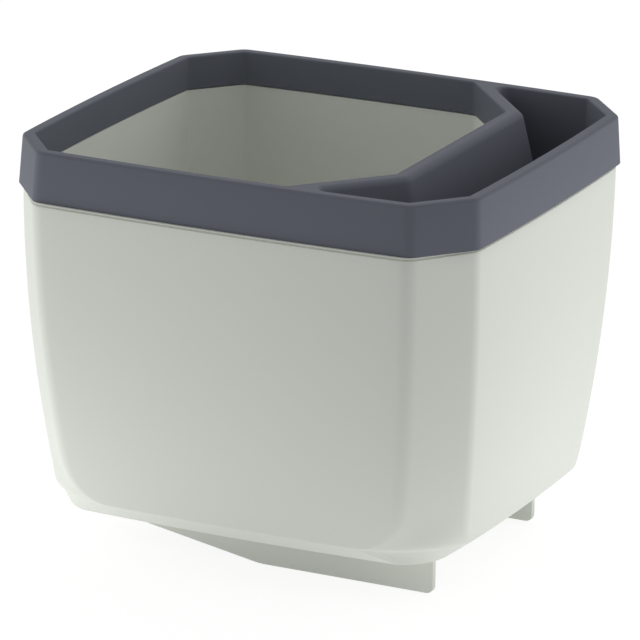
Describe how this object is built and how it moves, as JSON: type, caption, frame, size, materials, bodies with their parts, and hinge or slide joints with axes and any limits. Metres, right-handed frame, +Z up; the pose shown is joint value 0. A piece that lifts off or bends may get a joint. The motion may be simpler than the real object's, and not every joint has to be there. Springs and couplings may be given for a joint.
{
  "type": "self-watering herb planter",
  "caption": "Indoor herb planter: an outer water pot on two fins, a planting pot with hollow wells inside it, and a dark collar with a divider and a filling pocket.",
  "frame": {"origin": "middle of the object's bounding box in X and Y, on the plane that the feet of the fins rest on", "axes": "+X along the longer side, towards the filling pocket, +Y from front to back, +Z up"},
  "size_m": [0.1826, 0.1718, 0.1532],
  "materials": {
    "outer_pot": "satin moulded, light grey-green",
    "inner_pot": "satin moulded, light grey-green",
    "collar": "satin moulded, dark blue-grey"
  },
  "bodies": {
    "outer_pot": {"outer_pot": "outer_pot"},
    "inner_pot": {"inner_pot": "inner_pot"},
    "collar": {"collar": "collar"}
  },
  "joints": [
    {"name": "inner_pot_lift", "type": "slide", "parent": "outer_pot", "child": "inner_pot", "axis": [0, 0, 1], "range_m": [0, 0.16]},
    {"name": "collar_lift", "type": "slide", "parent": "inner_pot", "child": "collar", "axis": [0, 0, 1], "range_m": [0, 0.08]}
  ]
}
